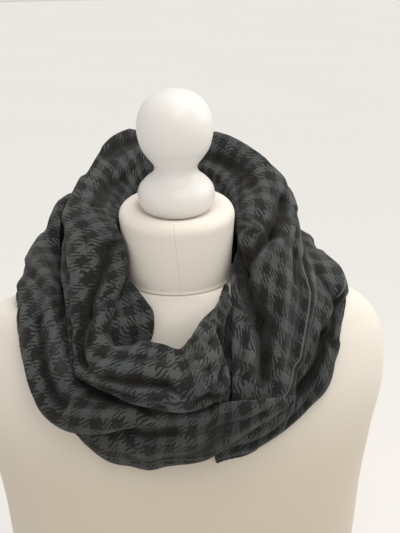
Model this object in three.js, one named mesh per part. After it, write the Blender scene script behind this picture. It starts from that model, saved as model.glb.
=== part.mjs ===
// Infinity scarf wound twice round the neck of a limbless dress form.
// Millimetres, +Z up. The neck's axis is X = 0, Y = 0, the chest faces -Y,
// and the form stands on its flat base at Z = 0.
import * as THREE from 'three';

// Cloth
const CLOTH_WALL = 1.8;
const CLOTH_GAP = 2.4;
const SEAM_GAP_DEG = 0.2;
const SECTION_STEP_DEG = 7.5;
const FOLD_POINT_STEP_DEG = 3;

// Clearance of the cloth from the form: passes over each point, the height over which the
// torso's slope is taken, and how far the torso's and the neck's rules reach past their joint
const CLEAR_PASSES = 6;
const SLOPE_STEP = 2;
const TORSO_RULE_OVER = 3;
const NECK_RULE_UNDER = 12;

// Dress form
const FORM_STEPS = 48;
const FORM_TOP = 497;
const NECK_BASE_RADIUS = 54;
const NECK_TOP_RADIUS = 58.5;
const NECK_TOP = 576.5;
const NECK_TOP_TILT = 0.12;
const NECK_FIRST_RING = 14;
const NECK_RING_STEP = 12;
const NECK_LEAN = 0.1;
const KNOB_STEPS = 36;
const KNOB_TIP = 0.6;
const PART_GAP = 0.3;

// The padded top of the neck, from its side over its rim to the seat of the knob: radius and
// height above NECK_TOP
const NECK_PADDING = table(['radius', 'z'], [
  [57.7, -15],
  [58.1, -9],
  [57.4, -4.5],
  [55, -0.5],
  [51, 1.8],
  [46, 2.4],
  [41, 1],
  [36.5, -1.2],
  [33, -2],
]);

// Heights of the torso's rings: the steps get shorter towards the shoulders
const BODY_RINGS = table(['from', 'step'], [
  [0, 38],
  [380, 14],
  [462, 5],
]);

// Torso rings: height, half width, depth to the chest, depth to the back, squareness
const TORSO = table(['z', 'side', 'front', 'back', 'power'], [
  [0, 176, 104, 96, 2.3],
  [60, 176, 103, 92, 2.3],
  [130, 190, 107, 98, 2.3],
  [200, 196, 111, 106, 2.35],
  [265, 200, 113, 113, 2.4],
  [330, 210, 107, 117, 2.35],
  [375, 220, 98, 116, 2.25],
  [406, 221, 89.5, 111, 2.15],
  [434, 217, 80, 102, 2.05],
  [450, 210, 75, 96, 1.95],
  [464, 199, 70.5, 88, 1.9],
  [474, 184, 67, 82, 1.85],
  [482, 150, 63.5, 76, 1.8],
  [488, 116, 60.5, 71, 1.8],
  [493, 84, 58, 65, 1.9],
  [497, 60, 56.5, 60, 2.0],
]);

// Knob outline from its foot to its top: radius and height above the foot
const KNOB = table(['radius', 'z'], [
  [31, 0],
  [34, 2],
  [37, 8],
  [38.3, 15.5],
  [36.4, 23],
  [30.6, 30],
  [24.6, 35],
  [21.2, 40.5],
  [22.2, 46.5],
  [27.2, 53.5],
  [33, 62.5],
  [36.3, 74],
  [37, 85],
  [34.8, 96],
  [28.6, 107],
  [18.8, 114.6],
  [8, 118.3],
]);

// The upper turn of the scarf, from its tucked end at the front right, up round the back of
// the neck, down the left side, across the front and up the right side again.
// Each row is one cross-section: the bearing, radius and height of its neck-side edge and of
// its outer edge, how far it bulges between them, and how far each edge rolls under.
const BAND = ['turnIn', 'rIn', 'zIn', 'turnOut', 'rOut', 'zOut', 'bulge', 'rollIn', 'rollOut'];
const UPPER_TURN = table(['at', ...BAND], [
  [0, 18, 122, 392, 37, 140, 384, 4, 0, 0],
  [12, 20, 127, 411, 45, 145, 403, 7, 0, 5],
  [28, 25, 108, 457, 50, 144, 427, 10, 0, 15],
  [44, 37, 82, 488, 57, 143, 461, 13, 5, 25],
  [58, 53, 62.5, 520, 64, 142, 490, 18, 15, 30],
  [72, 71, 60.5, 540, 72, 134, 508, 23, 30, 30],
  [87, 93, 61.5, 557, 84, 125, 524, 31, 38, 25],
  [101, 110, 65, 566, 99, 123, 538, 37, 45, 25],
  [116, 123, 69, 573, 114, 123, 548, 45, 45, 20],
  [134, 138, 73, 578, 133, 122, 557, 51.5, 45, 20],
  [157, 158, 76, 582, 156, 128, 562, 60.5, 45, 20],
  [180, 180, 77, 582, 180, 130, 562, 62.5, 45, 20],
  [204, 204, 75, 581, 204, 127, 561, 61, 45, 20],
  [224, 226, 71, 574, 225, 120, 556, 45, 45, 20],
  [243, 248, 66, 570, 243, 114, 546, 32, 40, 25],
  [261, 270, 62, 564, 259, 114, 532, 29, 35, 25],
  [276, 288, 60.5, 556, 272, 115, 519, 26, 35, 20],
  [288, 303, 60.5, 544, 283, 118, 507, 24, 30, 15],
  [298, 308, 63.5, 524, 292, 122, 490, 22, 15, 10],
  [307, 311, 79, 503, 299, 126, 465, 20, 5, 5],
  [316, 314, 92, 486, 304, 132, 443, 18, 5, 5],
  [323, 316, 101, 471, 310, 135, 429, 15, 10, 10],
  [330, 322, 104, 461, 319, 136, 427, 14, 25, 10],
  [338, 334, 99, 463, 332, 136, 424, 15, 35, 10],
  [348, 347, 95, 463, 346, 135, 418, 16, 40, 10],
  [359, 359, 95, 459, 360, 134, 414, 16, 40, 15],
  [370, 371, 88, 480, 373, 130, 418, 16, 30, 10],
  [380, 379.5, 84, 489, 379, 118, 403, 12, 15, 5],
  [391, 390, 76, 498, 388, 111, 406, 7, 5, 0],
  [402, 401, 67, 506, 399, 105, 416, 4, 0, 0],
]);

// The lower turn, from its hem under the front right, over the right shoulder, round the back
// and over the left shoulder to the roll that runs out under the front.
const LOWER_TURN = table(['at', ...BAND], [
  [10, 9, 114, 398, 15, 110, 340, 4, 0, 0],
  [18, 18, 115, 400, 21, 112, 344, 6, 0, 5],
  [30, 30, 121, 404, 31, 120, 349, 8, 0, 10],
  [41, 40, 121, 410, 43, 134, 363, 8, 0, 10],
  [50, 47, 122, 428, 53, 148, 379, 10, 0, 10],
  [59, 56, 122, 448, 61, 163, 401, 13, 0, 10],
  [67, 65, 124, 473, 67, 169, 434, 15, 0, 10],
  [77, 77, 122, 485, 77, 171, 464, 17, 0, 5],
  [88, 88, 118, 491, 88, 171, 481, 15, 0, 5],
  [99, 100, 118, 498, 98, 166, 483, 15, 5, 10],
  [112, 112, 124, 512, 111, 158, 481, 24, 10, 15],
  [130, 129, 132, 534, 130, 148, 466, 28, 10, 15],
  [152, 152, 138, 550, 152, 130, 452, 24, 10, 15],
  [180, 180, 140, 556, 180, 114, 440, 25, 10, 15],
  [206, 206, 140, 562, 206, 128, 452, 27, 0, 15],
  [228, 228, 134, 569, 229, 147, 466, 25, 0, 15],
  [244, 244, 129, 567, 245, 153, 483, 19, 0, 15],
  [259, 259, 124, 537, 258, 154, 484, 20, 0, 15],
  [271, 271, 117, 502, 270, 166, 483, 24, 0, 10],
  [283, 283, 113, 492, 281, 163.5, 473, 20, 0, 5],
  [293, 292, 117, 481, 291, 166.5, 440, 17, 0, 10],
  [301, 300, 130, 450, 298, 169, 410, 17, 0, 10],
  [308, 308, 127, 421, 304, 165, 391, 17, 0, 10],
  [317, 317, 117, 423, 313, 154, 382, 16, 0, 10],
  [328, 328, 111, 422, 327, 141, 386, 13, 0, 10],
  [338, 338, 113, 419, 337, 138, 396, 10, 0, 10],
  [343, 343, 121, 415, 342, 137, 400, 7, 0, 5],
  [348, 348, 128, 409, 348, 135, 403, 4, 0, 0],
]);

// The striped hem that hangs across the chest, from under the left roll to the right fold.
const FRONT_HEM = table(['at', ...BAND], [
  [-54, -54, 126, 400, -54, 140, 382, 2, 0, 0],
  [-45, -45, 121, 405, -46, 139, 364, 7, 0, 5],
  [-36, -36, 117, 410, -36, 132, 348, 11, 0, 10],
  [-27, -27, 116, 412, -27, 121, 343, 14, 0, 15],
  [-17, -17, 117, 413, -18, 114, 338, 17, 0, 20],
  [-7, -7, 119, 414, -9, 112, 344, 16, 0, 20],
  [4, 4, 121, 413, 4, 113, 346, 16, 0, 20],
  [12, 12, 124, 411, 11, 121, 354, 13, 0, 20],
  [19, 19, 136, 419, 20, 130, 373, 10, 0, 15],
  [29, 28, 145, 420, 30, 139, 390, 7, 0, 10],
  [38, 38, 152, 416, 39, 152, 404, 3, 0, 0],
]);

// The fold of the inner turn that bulges into the neck opening on the left.
const NECK_FOLD = table(['at', ...BAND], [
  [0, -60, 61, 508, -68, 64, 504, 2, 0, 0],
  [10, -49, 63, 507, -62, 69, 500, 5, 5, 0],
  [20, -35, 68, 501, -55, 72, 497, 7, 10, 0],
  [30, -23, 75, 491, -50, 79, 489, 8, 15, 0],
  [40, -20, 78, 476, -47, 87, 479, 8, 15, 0],
  [50, -22, 80, 461, -44, 92, 467, 6, 10, 0],
  [58, -28, 84, 449, -37, 93, 455, 3, 0, 0],
]);

// Large folds: a raised (or, below zero, sunk) line on a turn, from one place to another.
// Each place is how far along the turn and how far across it, from its neck-side edge at 0.
const FOLD = ['from', 'acrossFrom', 'to', 'acrossTo', 'width', 'height'];
const UPPER_FOLDS = table(FOLD, [
  [24, 0.45, 42, 0.38, 9, -6],
  [42, 0.38, 62, 0.16, 9, -6],
  [57, 0.27, 77, 0.46, 9, -5],
  [77, 0.46, 98, 0.6, 9, -5],
  [30, 0.68, 74, 0.7, 8, -4],
  [34, 0.82, 84, 0.85, 7, 4],
  [108, 0.34, 150, 0.3, 10, -6],
  [126, 0.66, 178, 0.56, 12, -8],
  [165, 0.36, 214, 0.44, 11, -7],
  [186, 0.74, 236, 0.66, 11, -6],
  [222, 0.28, 252, 0.3, 9, -5],
  [238, 0.52, 262, 0.6, 7, 4],
  [262, 0.72, 290, 0.74, 8, -4],
  [288, 0.34, 308, 0.53, 8, -6],
  [308, 0.53, 325, 0.62, 8, -4],
  [332, 0.7, 352, 0.65, 6, -5],
  [352, 0.65, 370, 0.86, 6, -5],
  [368, 0.34, 365, 0.6, 6, 4],
  [371, 0.65, 384, 0.17, 5, -3],
  [385, 0.51, 399, 0.08, 5, -3],
]);
const LOWER_FOLDS = table(FOLD, [
  [54, 0.54, 67, 0.6, 7, -5],
  [67, 0.6, 76, 0.76, 7, -5],
  [84, 0.46, 77, 0.62, 8, -5],
  [99, 0.58, 82, 0.8, 9, 6],
  [104, 0.3, 132, 0.4, 10, -6],
  [122, 0.7, 168, 0.62, 12, -8],
  [150, 0.36, 196, 0.3, 12, -7],
  [184, 0.6, 232, 0.68, 13, -9],
  [212, 0.34, 250, 0.38, 11, -6],
  [254, 0.66, 284, 0.62, 9, -3],
  [262, 0.3, 286, 0.36, 8, 4],
  [280, 0.06, 294, 0.2, 9, -4],
  [291, 0.33, 311, 0.36, 8, 4],
  [290, 0.5, 312, 0.56, 7, -6],
  [318, 0.36, 334, 0.3, 6, -3],
]);
const HEM_FOLDS = table(FOLD, [
  [-34, 0.4, -4, 0.34, 7, -4],
  [-22, 0.66, 16, 0.56, 7, -3],
]);
const NO_FOLDS = [];

function table(columns, rows) {
  return rows.map((row) => Object.fromEntries(columns.map((column, i) => [column, row[i]])));
}

const radians = (degrees) => (degrees * Math.PI) / 180;

// A point at a bearing round the neck, a radius and a height
function polar(bearing, radius, z) {
  const angle = radians(bearing);
  return new THREE.Vector3(radius * Math.sin(angle), -radius * Math.cos(angle), z);
}

// Smooth value of every column of a table at one place, through all of its rows
function sample(rows, key, at) {
  let i = rows.findIndex((row, k) => k > 0 && at <= row[key]);
  if (i < 0) i = rows.length - 1;
  const [a, b] = [rows[i - 1], rows[i]];
  const before = rows[i - 2] ?? a;
  const after = rows[i + 1] ?? b;
  const span = b[key] - a[key];
  const u = Math.min(1, Math.max(0, (at - a[key]) / span));
  const out = {};
  for (const column of Object.keys(a)) {
    const slopeA = ((b[column] - before[column]) / (b[key] - before[key])) * span;
    const slopeB = ((after[column] - a[column]) / (after[key] - a[key])) * span;
    const u2 = u * u;
    const u3 = u2 * u;
    out[column] = (2 * u3 - 3 * u2 + 1) * a[column] + (u3 - 2 * u2 + u) * slopeA
      + (3 * u2 - 2 * u3) * b[column] + (u3 - u2) * slopeB;
  }
  return out;
}

// Radius of the torso along a bearing at a height
function torsoRadius(bearing, z) {
  const ring = sample(TORSO, 'z', z);
  const angle = radians(bearing);
  const depth = Math.cos(angle) > 0 ? ring.front : ring.back;
  const across = Math.abs(Math.sin(angle)) / ring.side;
  const along = Math.abs(Math.cos(angle)) / depth;
  return (across ** ring.power + along ** ring.power) ** (-1 / ring.power);
}

function neckRadius(z) {
  const up = (z - FORM_TOP) / (NECK_TOP - FORM_TOP);
  return THREE.MathUtils.lerp(NECK_BASE_RADIUS, NECK_TOP_RADIUS, Math.min(1, Math.max(0, up)));
}

const neckShift = (z) => -NECK_LEAN * Math.max(0, z - FORM_TOP);

// Moves a point of the cloth out of the torso and the neck, along their surface's slope
function clearOfForm(point, gap) {
  const out = point.clone();
  for (let pass = 0; pass < CLEAR_PASSES; pass += 1) {
    const radius = Math.hypot(out.x, out.y);
    const bearing = THREE.MathUtils.radToDeg(Math.atan2(out.x, -out.y));
    if (out.z < FORM_TOP + TORSO_RULE_OVER) {
      const z = Math.min(out.z, FORM_TOP);
      const surface = torsoRadius(bearing, z);
      const slope = (torsoRadius(bearing, z - SLOPE_STEP) - surface) / SLOPE_STEP;
      const steep = Math.hypot(1, slope);
      const near = (radius - surface + (out.z - z) * slope) / steep;
      if (near < gap) {
        const push = (gap - near) / steep;
        out.x += (push * out.x) / radius;
        out.y += (push * out.y) / radius;
        out.z += push * slope;
      }
    }
    const dy = out.y - neckShift(out.z);
    const fromNeck = Math.hypot(out.x, dy);
    const clear = neckRadius(out.z) + gap;
    const besideNeck = out.z > FORM_TOP - NECK_RULE_UNDER && out.z < NECK_TOP + gap;
    if (besideNeck && fromNeck < clear) {
      out.x *= clear / fromNeck;
      out.y += dy * (clear / fromNeck - 1);
    }
  }
  return out;
}

// Both edges of one cross-section, and its row of the table
function sectionEnds(rows, at) {
  const row = sample(rows, 'at', at);
  return {
    row,
    inner: polar(row.turnIn, row.rIn, row.zIn),
    outer: polar(row.turnOut, row.rOut, row.zOut),
  };
}

// The middle of one cross-section, which gives the direction in which the turn runs
function middle(rows, at) {
  const { inner, outer } = sectionEnds(rows, at);
  return inner.add(outer).multiplyScalar(0.5);
}

// A point of the cloth's outer face: across runs from 0 at the neck-side edge to 1 at the outer
function bandPoint(rows, at, across) {
  const { row, inner, outer } = sectionEnds(rows, at);
  const along = middle(rows, at + 1).sub(middle(rows, at - 1)).normalize();
  const chord = outer.clone().sub(inner);
  const half = chord.length() / 2;
  chord.normalize();
  const up = chord.clone().cross(along).normalize();
  const from = -radians(row.rollIn);
  const to = Math.PI + radians(row.rollOut);
  const angle = from + (to - from) * across;
  return inner.add(outer).multiplyScalar(0.5)
    .addScaledVector(chord, -half * Math.cos(angle))
    .addScaledVector(up, row.bulge * Math.sin(angle));
}

// Points on a turn along the line of one fold
function foldLine(rows, fold) {
  const count = Math.ceil(Math.abs(fold.to - fold.from) / FOLD_POINT_STEP_DEG) + 3;
  const points = [];
  for (let k = 0; k <= count; k += 1) {
    const at = THREE.MathUtils.lerp(fold.from, fold.to, k / count);
    const across = THREE.MathUtils.lerp(fold.acrossFrom, fold.acrossTo, k / count);
    points.push(bandPoint(rows, at, across));
  }
  return points;
}

// How far all the folds together lift a point of a turn
function foldHeight(folds, lines, point) {
  let height = 0;
  folds.forEach((fold, k) => {
    const nearest = Math.min(...lines[k].map((place) => place.distanceTo(point)));
    height += fold.height * Math.exp(-((nearest / fold.width) ** 2));
  });
  return height;
}

// Normals of a grid of points, from each point's neighbours
function gridNormals(grid) {
  const rows = grid.length;
  const columns = grid[0].length;
  return grid.map((line, i) => line.map((point, j) => {
    const down = grid[Math.max(0, i - 1)][j];
    const up = grid[Math.min(rows - 1, i + 1)][j];
    const left = line[Math.max(0, j - 1)];
    const right = line[Math.min(columns - 1, j + 1)];
    const across = right.clone().sub(left);
    return across.cross(up.clone().sub(down)).normalize();
  }));
}

// A closed wall of cloth: the outer face, the inner face one wall below it, and four edges.
// The first and last sections of the grid only give the normals of their neighbours.
function clothWall(grid) {
  const normals = gridNormals(grid).slice(1, -1);
  const outer = grid.slice(1, -1);
  const inner = outer.map((line, i) => line.map((point, j) => (
    clearOfForm(point.clone().addScaledVector(normals[i][j], -CLOTH_WALL), CLOTH_GAP)
  )));
  const rows = outer.length;
  const columns = outer[0].length;
  const positions = [];
  for (const face of [outer, inner]) {
    for (const line of face) for (const point of line) positions.push(point.x, point.y, point.z);
  }
  const index = (face, i, j) => face * rows * columns + i * columns + j;
  const triangles = [];
  const quad = (a, b, c, d) => triangles.push(a, b, c, a, c, d);
  for (let i = 0; i + 1 < rows; i += 1) {
    for (let j = 0; j + 1 < columns; j += 1) {
      quad(index(0, i, j), index(0, i, j + 1), index(0, i + 1, j + 1), index(0, i + 1, j));
      quad(index(1, i, j), index(1, i + 1, j), index(1, i + 1, j + 1), index(1, i, j + 1));
    }
  }
  const last = columns - 1;
  for (let i = 0; i + 1 < rows; i += 1) {
    quad(index(0, i, 0), index(0, i + 1, 0), index(1, i + 1, 0), index(1, i, 0));
    quad(index(0, i + 1, last), index(0, i, last), index(1, i, last), index(1, i + 1, last));
  }
  const end = rows - 1;
  for (let j = 0; j < last; j += 1) {
    quad(index(0, 0, j + 1), index(0, 0, j), index(1, 0, j), index(1, 0, j + 1));
    quad(index(0, end, j), index(0, end, j + 1), index(1, end, j + 1), index(1, end, j));
  }
  return solidGeometry(positions, triangles);
}

function solidGeometry(positions, triangles) {
  const geometry = new THREE.BufferGeometry();
  geometry.setAttribute('position', new THREE.Float32BufferAttribute(positions, 3));
  geometry.setIndex(triangles);
  geometry.computeVertexNormals();
  return geometry;
}

// One stretch of a turn, between two places along it. The grid has one more section before
// and after, so that neighbouring stretches have the same normals at their seam.
function clothStretch(rows, folds, from, to, columns) {
  const count = Math.max(3, Math.round((to - from) / SECTION_STEP_DEG));
  const last = rows[rows.length - 1].at;
  const grid = [];
  for (let i = -1; i <= count + 1; i += 1) {
    const at = THREE.MathUtils.clamp(from + ((to - from) * i) / count, rows[0].at, last);
    const line = [];
    for (let j = 0; j <= columns; j += 1) {
      line.push(bandPoint(rows, at, j / columns));
    }
    grid.push(line);
  }
  const normals = gridNormals(grid);
  const lines = folds.map((fold) => foldLine(rows, fold));
  const folded = grid.map((line, i) => line.map((point, j) => {
    const height = foldHeight(folds, lines, point);
    const moved = point.clone().addScaledVector(normals[i][j], height);
    return clearOfForm(moved, CLOTH_GAP + CLOTH_WALL);
  }));
  return clothWall(folded);
}

// A closed solid from rings of points, lowest ring first, with a flat cap at each end
function ringSolid(rings) {
  const steps = rings[0].length;
  const positions = rings.flat().flatMap((point) => [point.x, point.y, point.z]);
  const bottom = rings.length * steps;
  const centre = (ring) => ring.reduce((sum, p) => sum.add(p), new THREE.Vector3())
    .multiplyScalar(1 / steps);
  for (const ring of [rings[0], rings[rings.length - 1]]) positions.push(...centre(ring));
  const triangles = [];
  for (let i = 0; i + 1 < rings.length; i += 1) {
    for (let j = 0; j < steps; j += 1) {
      const next = (j + 1) % steps;
      const [a, b] = [i * steps + j, i * steps + next];
      triangles.push(a, b, b + steps, a, b + steps, a + steps);
    }
  }
  const lastRing = (rings.length - 1) * steps;
  for (let j = 0; j < steps; j += 1) {
    const next = (j + 1) % steps;
    triangles.push(bottom, next, j);
    triangles.push(bottom + 1, lastRing + j, lastRing + next);
  }
  return solidGeometry(positions, triangles);
}

function formBody() {
  const heights = [];
  BODY_RINGS.forEach(({ from, step }, k) => {
    const end = BODY_RINGS[k + 1]?.from ?? FORM_TOP;
    for (let z = from; z < end; z += step) heights.push(z);
  });
  heights.push(FORM_TOP);
  return ringSolid(heights.map((z) => (
    ring((bearing) => polar(bearing, torsoRadius(bearing, z), z)))));
}

function ring(pointAt) {
  const points = [];
  for (let j = 0; j < FORM_STEPS; j += 1) points.push(pointAt((360 * j) / FORM_STEPS));
  return points;
}

function neckPiece() {
  const rings = [];
  const foot = FORM_TOP + PART_GAP;
  const put = (radius, z) => rings.push(ring((bearing) => {
    const point = polar(bearing, radius, z);
    point.y += neckShift(z);
    point.z += NECK_TOP_TILT * point.y * Math.max(0, (z - foot) / (NECK_TOP - foot));
    return point;
  }));
  put(NECK_BASE_RADIUS, foot);
  const rim = NECK_TOP + NECK_PADDING[0].z;
  for (let z = FORM_TOP + NECK_FIRST_RING; z < rim; z += NECK_RING_STEP) put(neckRadius(z), z);
  for (const row of NECK_PADDING) put(row.radius, NECK_TOP + row.z);
  return ringSolid(rings);
}

function knobPiece() {
  const points = [new THREE.Vector2(0, KNOB[0].z)];
  for (const row of KNOB) points.push(new THREE.Vector2(row.radius, row.z));
  points.push(new THREE.Vector2(0, KNOB[KNOB.length - 1].z + KNOB_TIP));
  const geometry = new THREE.LatheGeometry(points, KNOB_STEPS);
  geometry.rotateX(Math.PI / 2);
  return geometry;
}

const coverCloth = new THREE.MeshStandardMaterial({ color: 0xe6e0d4, roughness: 0.9 });
const paintedWood = new THREE.MeshStandardMaterial({ color: 0xeeeae2, roughness: 0.45 });
const checkedCloth = new THREE.MeshStandardMaterial({ color: 0x3c4444, roughness: 0.95 });

const part = new THREE.Group();
part.name = 'infinity_scarf_on_dress_form';

function add(name, geometry, material) {
  const mesh = new THREE.Mesh(geometry, material);
  mesh.name = name;
  part.add(mesh);
  return mesh;
}

add('form_body', formBody(), coverCloth);
add('form_neck', neckPiece(), coverCloth);
const knob = add('form_knob', knobPiece(), paintedWood);
knob.rotation.x = Math.atan(NECK_TOP_TILT);
const knobShift = neckShift(NECK_TOP);
const knobSeat = NECK_TOP + NECK_PADDING[NECK_PADDING.length - 1].z;
knob.position.set(0, knobShift, knobSeat + NECK_TOP_TILT * knobShift + 2 * PART_GAP);

// Stretches of the two turns: name, table, folds, where each starts and ends, facets across
const STRETCHES = [
  ['scarf_outer_right', UPPER_TURN, UPPER_FOLDS, 0, 116, 14],
  ['scarf_back_top_right', UPPER_TURN, UPPER_FOLDS, 116, 180, 14],
  ['scarf_back_top_left', UPPER_TURN, UPPER_FOLDS, 180, 243, 14],
  ['scarf_inner_left', UPPER_TURN, UPPER_FOLDS, 243, 326, 14],
  ['scarf_inner_front', UPPER_TURN, UPPER_FOLDS, 326, 372, 14],
  ['scarf_inner_right', UPPER_TURN, UPPER_FOLDS, 372, 402, 12],
  ['scarf_under_right', LOWER_TURN, LOWER_FOLDS, 10, 116, 12],
  ['scarf_back_low', LOWER_TURN, LOWER_FOLDS, 116, 244, 12],
  ['scarf_outer_left', LOWER_TURN, LOWER_FOLDS, 244, 348, 12],
  ['scarf_front_hem', FRONT_HEM, HEM_FOLDS, -54, 38, 10],
  ['scarf_neck_fold', NECK_FOLD, NO_FOLDS, 0, 58, 8],
];
for (const [name, rows, folds, from, to, columns] of STRETCHES) {
  const geometry = clothStretch(rows, folds, from + SEAM_GAP_DEG, to - SEAM_GAP_DEG, columns);
  add(name, geometry, checkedCloth);
}

export default part;
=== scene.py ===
"""Looks of a checked infinity scarf wound twice round the neck of a limbless dress form.

The cloth follows the same tables as the CAD part, apart from a few edges that are moved by up to
21 mm to close gaps between the turns. Each row is one cross-section of a turn of the scarf: the
bearing round the neck (0 at the chest, 90 at the right), radius and height of its neck-side edge
and of its outer edge, how far it bulges between them, and how far each edge rolls under. Tables
are in millimetres and degrees, Blender's scene is in metres.
"""
import math

import bpy
import numpy as np
from mathutils import Matrix, Vector


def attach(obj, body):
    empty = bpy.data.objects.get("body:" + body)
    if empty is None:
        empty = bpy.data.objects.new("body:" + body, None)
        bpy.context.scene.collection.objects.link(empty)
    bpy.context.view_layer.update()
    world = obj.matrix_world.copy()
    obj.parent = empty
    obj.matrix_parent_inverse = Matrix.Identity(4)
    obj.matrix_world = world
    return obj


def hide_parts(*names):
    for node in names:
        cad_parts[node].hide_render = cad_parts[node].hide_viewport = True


MM = 0.001

# Cloth
CLOTH_THICKNESS = 1.3
CLOTH_CLEARANCE = 3.2
TUCK_SHARE = 0.1
TUCK_DEG = 55
TUCK_SHRINK = 0.35

# Folds: how strongly each table lifts the cloth, and how finely and how far a fold is followed
FOLD_DEPTH = 1.3
CREASE_DEPTH = 1.6
FOLD_STEP = 0.6
FOLD_REACH = 26

# Wrinkles: heights of the sharp, the broad and the fine ones, and steps before the noise repeats
WRINKLE_RIDGES = 0.9
WRINKLE_BROAD = 1.1
WRINKLE_FINE = 0.35
LATTICE = 97

# Keeping the cloth off the form: passes, how far above the torso's top the torso still counts,
# and how far below it the neck does
PUSH_PASSES = 6
TORSO_REACH = 3
NECK_REACH = 12

# Weave: threads in a repeat of the check, their dark share, how soft the blocks' borders are in
# repeats, and the millimetres in a unit of the marks
THREADS = 16
DARK_SHARE = 0.54
BLOCK_BORDER = 0.03
MARK_UNIT = 10.0

# Colours of the threads, their fuzz, the painted shade in troughs and the painted highlight on
# crests
THREAD_GREEN = (0.088, 0.104, 0.105, 1)
THREAD_GREY = (0.112, 0.117, 0.106, 1)
THREAD_BLUE = (0.096, 0.097, 0.112, 1)
THREAD_BLACK = (0.0130, 0.0135, 0.0140, 1)
THREAD_BROWN = (0.0175, 0.0155, 0.0145, 1)
FUZZ = (0.05, 0.055, 0.054, 1)
TROUGH_SHADE = (0.012, 0.0100, 0.0095, 1)
PAINTED_CREST_HIGHLIGHT = (0.17, 0.18, 0.17, 1)

# Dress form
FORM_TOP = 497
NECK_BASE_RADIUS = 54
NECK_TOP_RADIUS = 58.5
NECK_TOP = 576.5
NECK_TOP_TILT = 0.12
NECK_LEAN = 0.1
PART_GAP = 0.3

# The neck's front seam: how many degrees it leans over, its two ridges and the groove between
NECK_SEAM_LEAN = 6
SEAM_RIDGE = 0.25
SEAM_RIDGE_PLACE = 1.8
SEAM_RIDGE_WIDTH = 1.1
SEAM_GROOVE = 0.7
SEAM_GROOVE_WIDTH = 0.55

# The neck's turned foot seam: how far it stands out from the neck's side, height above its foot
NECK_FOOT = [(-2, 0), (0.9, 0.5), (1.3, 1.4), (0.9, 2.4)]

# Points round the torso and round the knob
TORSO_POINTS = 192
KNOB_POINTS = 96

# Torso rings: height, half width, depth to the chest, depth to the back, squareness
TORSO = np.array([
    [0, 176, 104, 96, 2.3],
    [60, 176, 103, 92, 2.3],
    [130, 190, 107, 98, 2.3],
    [200, 196, 111, 106, 2.35],
    [265, 200, 113, 113, 2.4],
    [330, 210, 107, 117, 2.35],
    [375, 220, 98, 116, 2.25],
    [406, 221, 89.5, 111, 2.15],
    [434, 217, 80, 102, 2.05],
    [450, 210, 75, 96, 1.95],
    [464, 199, 70.5, 88, 1.9],
    [474, 184, 67, 82, 1.85],
    [482, 150, 63.5, 76, 1.8],
    [488, 116, 60.5, 71, 1.8],
    [493, 84, 58, 65, 1.9],
    [497, 60, 56.5, 60, 2.0],
])

# The padded top of the neck, from its side over its rim to the seat of the knob: radius and
# height above NECK_TOP
NECK_PADDING = np.array([
    [57.7, -15],
    [58.1, -9],
    [57.4, -4.5],
    [55, -0.5],
    [51, 1.8],
    [46, 2.4],
    [41, 1],
    [36.5, -1.2],
    [33, -2],
])

# Knob outline from its foot to its top: height above the foot and radius
KNOB = np.array([
    [0, 31],
    [2, 34],
    [8, 37],
    [15.5, 38.3],
    [23, 36.4],
    [30, 30.6],
    [35, 24.6],
    [40.5, 21.2],
    [46.5, 22.2],
    [53.5, 27.2],
    [62.5, 33],
    [74, 36.3],
    [85, 37],
    [96, 34.8],
    [107, 28.6],
    [114.6, 18.8],
    [118.3, 8],
])

# Columns: place along the turn, bearing, radius and height of the neck-side edge, the same of
# the outer edge, bulge, roll of the neck-side edge, roll of the outer edge
UPPER_TURN = np.array([
    [0, 18, 122, 392, 37, 140, 384, 4, 0, 0],
    [12, 20, 127, 411, 45, 145, 403, 7, 0, 5],
    [28, 25, 108, 457, 50, 144, 427, 10, 0, 15],
    [44, 37, 82, 488, 57, 143, 461, 13, 5, 25],
    [58, 53, 62.5, 520, 64, 142, 490, 18, 15, 30],
    [72, 71, 60.5, 540, 72, 134, 508, 23, 30, 30],
    [87, 93, 61.5, 557, 84, 125, 524, 31, 38, 25],
    [101, 110, 65, 566, 99, 123, 538, 37, 45, 25],
    [116, 123, 69, 573, 114, 123, 548, 45, 45, 20],
    [134, 138, 73, 578, 133, 122, 557, 51.5, 45, 20],
    [157, 158, 76, 582, 156, 128, 562, 60.5, 45, 20],
    [180, 180, 77, 582, 180, 130, 562, 62.5, 45, 20],
    [204, 204, 75, 581, 204, 127, 561, 61, 45, 20],
    [224, 226, 71, 574, 225, 120, 556, 45, 45, 20],
    [243, 248, 66, 570, 243, 114, 546, 32, 40, 25],
    [261, 270, 62, 564, 259, 114, 532, 29, 35, 25],
    [276, 288, 60.5, 556, 272, 115, 519, 26, 35, 20],
    [288, 303, 60.5, 544, 283, 118, 507, 24, 30, 15],
    [298, 308, 63.5, 524, 292, 122, 490, 22, 15, 10],
    [307, 311, 79, 503, 299, 126, 465, 20, 5, 5],
    [316, 314, 92, 486, 304, 132, 443, 18, 5, 5],
    [323, 316, 101, 471, 310, 135, 429, 15, 10, 10],
    [330, 322, 104, 461, 319, 136, 427, 14, 25, 10],
    [338, 334, 99, 463, 332, 136, 424, 15, 35, 10],
    [348, 347, 95, 463, 346, 135, 418, 16, 40, 10],
    [359, 359, 95, 459, 360, 134, 414, 16, 40, 15],
    [370, 371, 88, 480, 373, 130, 418, 16, 30, 10],
    [380, 379.5, 84, 489, 379, 118, 403, 12, 15, 5],
    [391, 390, 76, 498, 388, 111, 406, 7, 5, 0],
    [402, 401, 67, 506, 399, 105, 416, 4, 0, 0],
], float)

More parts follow.
